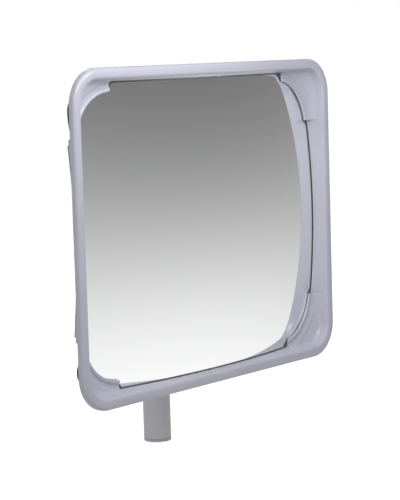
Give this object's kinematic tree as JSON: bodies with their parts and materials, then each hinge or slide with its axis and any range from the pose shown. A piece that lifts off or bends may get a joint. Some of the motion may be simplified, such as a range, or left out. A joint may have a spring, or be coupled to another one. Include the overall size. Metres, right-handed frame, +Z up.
{
  "type": "convex security mirror",
  "caption": "Rectangular convex security mirror in a rounded plastic frame, tilting and turning on a clamp round a post.",
  "frame": {"origin": "centre of the flat foot of the post, on its underside", "axes": "+Z up along the post, mirror faces -Y, +X to the right of someone facing along +Y"},
  "size_m": [0.868, 0.2365, 0.825],
  "materials": {
    "frame_plastic": "moulded satin, light lavender grey",
    "mirror_face": "second-surface mirror, domed",
    "gasket_rubber": "matte extruded rubber",
    "shell_plastic": "vacuum-formed, fine grain",
    "clip_plastic": "black moulded, fine grain",
    "galvanised_steel": "galvanised, faint spangle",
    "zinc_fasteners": "bright zinc plated",
    "clamp_rubber": "matte moulded rubber",
    "post_steel": "matte grey coated tube",
    "end_plugs": "black moulded"
  },
  "bodies": {
    "post": {"post_tube": "post_steel", "post_foot": "end_plugs", "post_cap": "end_plugs"},
    "clamp_liner": {"clamp_liner_front": "clamp_rubber", "clamp_liner_rear": "clamp_rubber"},
    "post_clamp": {"clamp_front": "galvanised_steel", "clamp_rear": "galvanised_steel", "clamp_bolt_upper_left": "zinc_fasteners", "clamp_nut_upper_left": "zinc_fasteners", "clamp_bolt_upper_right": "zinc_fasteners", "clamp_nut_upper_right": "zinc_fasteners", "clamp_bolt_lower_left": "zinc_fasteners", "clamp_nut_lower_left": "zinc_fasteners", "clamp_bolt_lower_right": "zinc_fasteners", "clamp_nut_lower_right": "zinc_fasteners", "pivot_bush": "zinc_fasteners"},
    "mirror_head": {"front_frame": "frame_plastic", "mirror_pane": "mirror_face", "edge_gasket": "gasket_rubber", "rear_shell": "shell_plastic", "corner_clip_upper_right": "clip_plastic", "corner_clip_upper_left": "clip_plastic", "corner_clip_lower_left": "clip_plastic", "corner_clip_lower_right": "clip_plastic", "clip_screw_upper_right": "zinc_fasteners", "clip_screw_upper_left": "zinc_fasteners", "clip_screw_lower_left": "zinc_fasteners", "clip_screw_lower_right": "zinc_fasteners", "tilt_bracket": "galvanised_steel", "spreader_plate": "galvanised_steel", "bracket_bolt_1": "zinc_fasteners", "bracket_nut_1": "zinc_fasteners", "bracket_bolt_2": "zinc_fasteners", "bracket_nut_2": "zinc_fasteners", "bracket_bolt_3": "zinc_fasteners", "bracket_nut_3": "zinc_fasteners", "bracket_bolt_4": "zinc_fasteners", "bracket_nut_4": "zinc_fasteners", "pivot_bolt": "zinc_fasteners", "pivot_washer_left": "zinc_fasteners", "pivot_washer_right": "zinc_fasteners", "pivot_nut": "zinc_fasteners", "lock_bolt": "zinc_fasteners", "lock_washer_left": "zinc_fasteners", "lock_washer_right": "zinc_fasteners", "lock_nut": "zinc_fasteners"}
  },
  "joints": [
    {"name": "clamp_height", "type": "slide", "parent": "post", "child": "clamp_liner", "axis": [0, 0, 1], "range_m": [-0.14, 0.07]},
    {"name": "clamp_swivel", "type": "hinge", "parent": "clamp_liner", "child": "post_clamp", "pos_m": [0, 0, 0.485], "axis": [0, 0, 1], "continuous": true},
    {"name": "head_tilt", "type": "hinge", "parent": "post_clamp", "child": "mirror_head", "pos_m": [0, -0.071, 0.485], "axis": [1, 0, 0], "range_deg": [-15, 15]}
  ]
}
